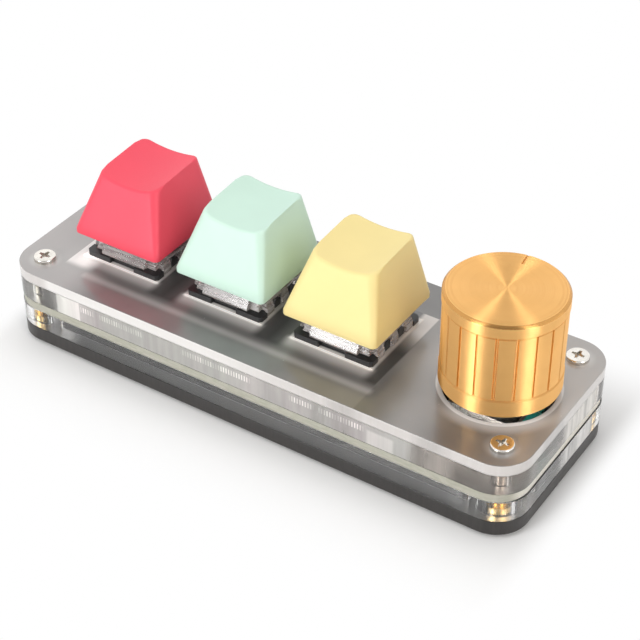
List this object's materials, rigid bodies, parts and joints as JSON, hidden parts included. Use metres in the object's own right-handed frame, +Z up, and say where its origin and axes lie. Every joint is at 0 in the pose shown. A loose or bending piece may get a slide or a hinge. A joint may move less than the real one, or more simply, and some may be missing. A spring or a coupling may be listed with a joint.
{
  "type": "macro keypad",
  "caption": "Small desk macro keypad: clear layered case on a black plate, sculpted push keys on clear-topped switches and a fluted gold knob that turns and presses.",
  "frame": {"origin": "under the centre of the case, on the surface that the rubber feet stand on", "axes": "+X along the case from the coral key to the knob, +Y from the user's side to the socket side, +Z up"},
  "size_m": [0.102, 0.036, 0.0349],
  "materials": {
    "black_acrylic": "laser-cut black acrylic sheet",
    "clear_acrylic": "clear acrylic sheet, laser-cut edges",
    "satin_acrylic": "acrylic sheet with a satin top face, milky at its laser-cut edges",
    "screw_steel": "plated steel",
    "brass": "turned brass",
    "foot_rubber": "matte",
    "board": "dark solder mask over glass-fibre board",
    "chip_plastic": "moulded black",
    "ceramic": "tan ceramic",
    "light_plastic": "diffusing",
    "sheet_steel": "tinned sheet steel",
    "switch_black": "moulded black nylon",
    "clear_plastic": "clear polycarbonate",
    "stem_red": "moulded",
    "spring_steel": "drawn wire",
    "contact_copper": "copper alloy",
    "cap_coral": "satin coral red",
    "cap_mint": "satin mint green",
    "cap_cream": "satin cream yellow",
    "encoder_teal": "moulded teal",
    "zinc": "die-cast zinc",
    "rotor_plastic": "moulded",
    "shaft_metal": "turned",
    "gold_aluminium": "anodised gold, turned top",
    "core_plastic": "moulded black"
  },
  "bodies": {
    "base": {"bottom_plate": "black_acrylic", "lower_frame": "clear_acrylic", "cover_spacer": "clear_acrylic", "top_cover": "satin_acrylic", "case_screws": "screw_steel", "threaded_inserts": "brass", "rubber_feet": "foot_rubber", "circuit_board": "board", "controller_chip": "chip_plastic", "board_parts": "ceramic", "key_lights": "light_plastic", "socket_shell": "sheet_steel", "socket_tongue": "chip_plastic", "switch_base_left": "switch_black", "switch_base_middle": "switch_black", "switch_base_right": "switch_black", "switch_cover_left": "clear_plastic", "switch_cover_middle": "clear_plastic", "switch_cover_right": "clear_plastic", "switch_spring_left": "spring_steel", "switch_spring_middle": "spring_steel", "switch_spring_right": "spring_steel", "switch_contacts_left": "contact_copper", "switch_contacts_middle": "contact_copper", "switch_contacts_right": "contact_copper", "encoder_base": "encoder_teal", "encoder_bushing": "zinc", "encoder_bracket": "sheet_steel", "encoder_pins": "sheet_steel"},
    "key_left": {"switch_stem_left": "stem_red", "keycap_left": "cap_coral"},
    "key_middle": {"switch_stem_middle": "stem_red", "keycap_middle": "cap_mint"},
    "key_right": {"switch_stem_right": "stem_red", "keycap_right": "cap_cream"},
    "rotor": {"encoder_rotor": "rotor_plastic"},
    "knob": {"encoder_shaft": "shaft_metal", "knob_core": "core_plastic", "knob_shell": "gold_aluminium"},
    "plunger": {"encoder_plunger": "rotor_plastic"}
  },
  "joints": [
    {"name": "press_left", "type": "slide", "parent": "base", "child": "key_left", "axis": [0, 0, 1], "range_m": [-0.004, 0], "stiffness_N_per_m": 75, "springref_m": 0.004, "deforming": ["switch_spring_left"]},
    {"name": "press_middle", "type": "slide", "parent": "base", "child": "key_middle", "axis": [0, 0, 1], "range_m": [-0.004, 0], "stiffness_N_per_m": 75, "springref_m": 0.004, "deforming": ["switch_spring_middle"]},
    {"name": "press_right", "type": "slide", "parent": "base", "child": "key_right", "axis": [0, 0, 1], "range_m": [-0.004, 0], "stiffness_N_per_m": 75, "springref_m": 0.004, "deforming": ["switch_spring_right"]},
    {"name": "knob_turn", "type": "hinge", "parent": "base", "child": "rotor", "pos_m": [0.0385, 0, 0.0127], "axis": [0, 0, 1], "continuous": true},
    {"name": "knob_press", "type": "slide", "parent": "rotor", "child": "knob", "axis": [0, 0, 1], "range_m": [-0.0005, 0], "stiffness_N_per_m": 2500, "springref_m": 0.0005},
    {"name": "plunger_press", "type": "slide", "parent": "base", "child": "plunger", "axis": [0, 0, 1], "range_m": [-0.0005, 0]}
  ],
  "couplings": [
    {"joint": "plunger_press", "follows": "knob_press", "ratio": 1}
  ]
}
